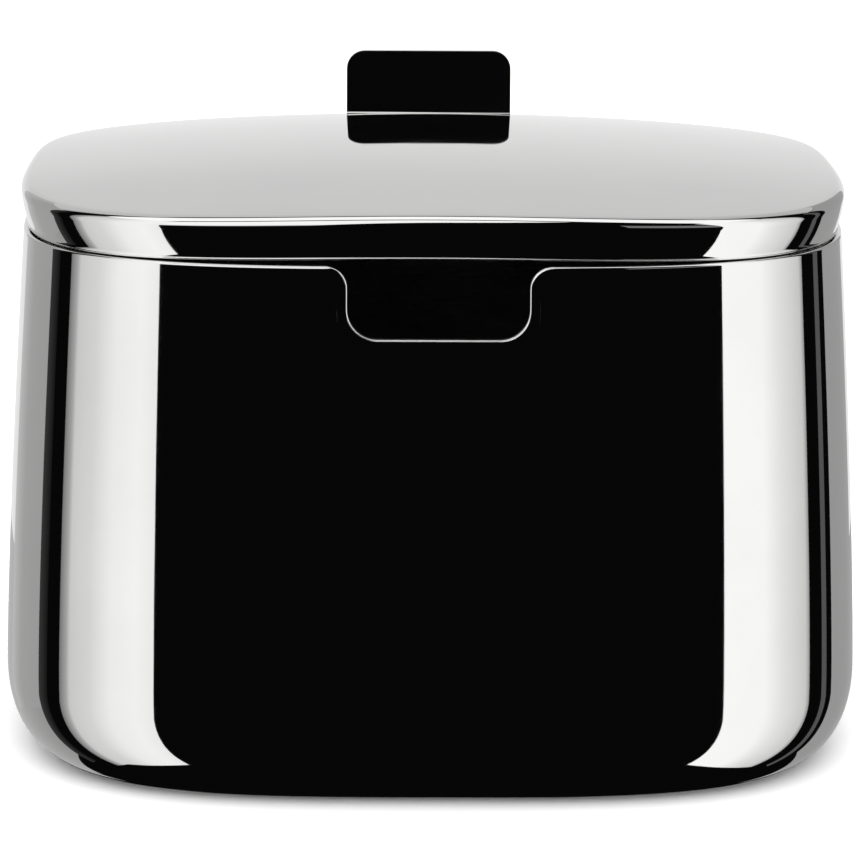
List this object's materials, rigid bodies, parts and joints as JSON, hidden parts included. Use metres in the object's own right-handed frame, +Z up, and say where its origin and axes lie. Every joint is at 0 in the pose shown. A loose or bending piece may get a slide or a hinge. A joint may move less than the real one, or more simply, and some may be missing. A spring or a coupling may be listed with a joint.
{
  "type": "sugar bowl with hinged lid",
  "caption": "Polished steel sugar bowl with rounded-square plan, domed hinged lid, rear thumb tab and a spoon notch in the front rim.",
  "frame": {"origin": "middle of the bowl's flat base, on the surface it stands on", "axes": "+Z up, -Y towards the spoon notch at the front, +Y towards the hinge"},
  "size_m": [0.0904, 0.092, 0.0672],
  "materials": {
    "polished_steel": "mirror-polished stainless steel",
    "satin_steel": "satin stainless steel"
  },
  "bodies": {
    "bowl": {"bowl": "polished_steel", "bowl_hinge_leaf": "satin_steel", "hinge_pin": "satin_steel"},
    "lid": {"lid": "polished_steel", "thumb_tab": "polished_steel", "lid_hinge_leaf": "satin_steel"}
  },
  "joints": [
    {"name": "lid_hinge", "type": "hinge", "parent": "bowl", "child": "lid", "pos_m": [0, 0.04516, 0.055], "axis": [-1, 0, 0], "range_deg": [0, 100]}
  ]
}
